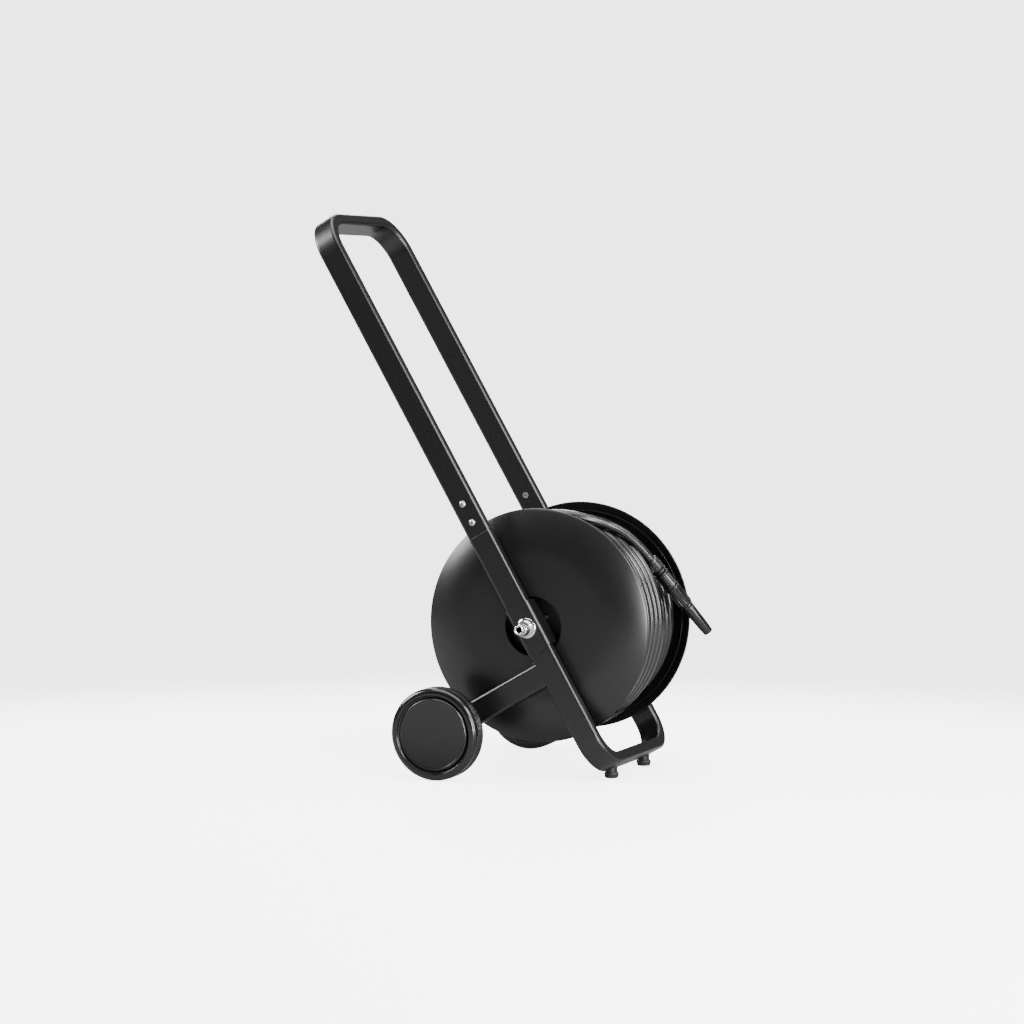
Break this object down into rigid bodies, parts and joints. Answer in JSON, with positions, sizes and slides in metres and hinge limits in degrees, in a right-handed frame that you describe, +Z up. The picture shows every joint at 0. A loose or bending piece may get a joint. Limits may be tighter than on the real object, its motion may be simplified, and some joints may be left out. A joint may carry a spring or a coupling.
{
  "type": "garden hose reel cart",
  "caption": "Leaning tube-frame cart with a dished drum of black garden hose, water inlet at the hub, ribbed wheels, rubber feet and a nozzle on the hose.",
  "frame": {"origin": "on the ground, under the middle of the cart's box measured without its hose", "axes": "+X forwards from the handle to the feet, +Y from the water inlet side to the crank side, +Z up"},
  "size_m": [0.6309, 0.4388, 0.9144],
  "materials": {
    "black_powder_coat": "satin black powder coat",
    "chrome": "polished chrome plate",
    "zinc_steel": "zinc-plated steel",
    "brass": "machined brass",
    "black_rubber": "matt moulded rubber",
    "black_plastic": "satin moulded plastic",
    "wheel_tyre": "smooth ribbed rubber",
    "hose_rubber": "satin extruded hose"
  },
  "bodies": {
    "frame": {"handle_loop": "black_powder_coat", "base_loop": "black_powder_coat", "splice_inserts": "zinc_steel", "handle_screws": "zinc_steel", "sleeve_nuts": "zinc_steel", "weld_beads": "black_powder_coat", "leg_near": "black_powder_coat", "leg_far": "black_powder_coat", "leg_caps": "black_plastic", "foot_near": "black_rubber", "foot_far": "black_rubber", "foot_bosses": "black_powder_coat", "foot_screws": "zinc_steel", "hub_bracket_near": "black_powder_coat", "hub_bracket_far": "black_powder_coat", "inlet_nipple": "chrome", "water_spindle": "brass", "spindle_seals": "black_rubber", "spindle_nut": "zinc_steel", "shaft_bush": "black_plastic", "stub_axles": "zinc_steel", "axle_spacers": "black_plastic", "axle_washers": "zinc_steel", "axle_clips": "zinc_steel"},
    "drum": {"disc_near": "black_powder_coat", "disc_far": "black_powder_coat", "core_ring_near": "black_powder_coat", "core_ring_far": "black_powder_coat", "hub_cup_near": "black_powder_coat", "hub_cup_far": "black_powder_coat", "drum_core": "black_powder_coat", "cup_screws": "zinc_steel", "hub_screws": "zinc_steel", "centre_tube": "brass", "spindle_bush": "black_plastic", "feed_pipe": "brass", "hose_outlet": "brass", "outlet_nut": "zinc_steel", "drive_shaft": "zinc_steel", "crank_arm": "black_powder_coat", "crank_bolt": "zinc_steel", "knob_pin": "zinc_steel", "hose_winding": "hose_rubber", "hose_end": "hose_rubber", "coupling_nut": "black_plastic", "coupling_body": "black_plastic", "nozzle_collar": "black_plastic"},
    "wheel_near": {"wheel_tyre_near": "wheel_tyre", "wheel_rim_near": "black_plastic", "wheel_cap_near": "black_plastic", "wheel_bush_near": "black_plastic"},
    "wheel_far": {"wheel_tyre_far": "wheel_tyre", "wheel_rim_far": "black_plastic", "wheel_cap_far": "black_plastic", "wheel_bush_far": "black_plastic"},
    "knob": {"crank_knob": "black_plastic"},
    "release_sleeve": {"coupling_sleeve": "black_plastic"},
    "nozzle_tip": {"nozzle_barrel": "black_plastic"}
  },
  "joints": [
    {"name": "drum_spin", "type": "hinge", "parent": "frame", "child": "drum", "pos_m": [0.1035, 0, 0.2455], "axis": [0, -1, 0], "continuous": true},
    {"name": "wheel_near_spin", "type": "hinge", "parent": "frame", "child": "wheel_near", "pos_m": [-0.03051, -0.2, 0.075], "axis": [0, 1, 0], "continuous": true},
    {"name": "wheel_far_spin", "type": "hinge", "parent": "frame", "child": "wheel_far", "pos_m": [-0.03051, 0.2, 0.075], "axis": [0, 1, 0], "continuous": true},
    {"name": "knob_spin", "type": "hinge", "parent": "drum", "child": "knob", "pos_m": [0.00483, 0.18, 0.20959], "axis": [0, 1, 0], "continuous": true},
    {"name": "sleeve_slide", "type": "slide", "parent": "drum", "child": "release_sleeve", "axis": [-0.4617, -0.4629, 0.7566], "range_m": [0, 0.003], "stiffness_N_per_m": 800, "springref_m": -0.001},
    {"name": "barrel_twist", "type": "hinge", "parent": "drum", "child": "nozzle_tip", "pos_m": [0.2552, 0.012, 0.3493], "axis": [0.4617, 0.4629, -0.7566], "range_deg": [0, 270]}
  ]
}
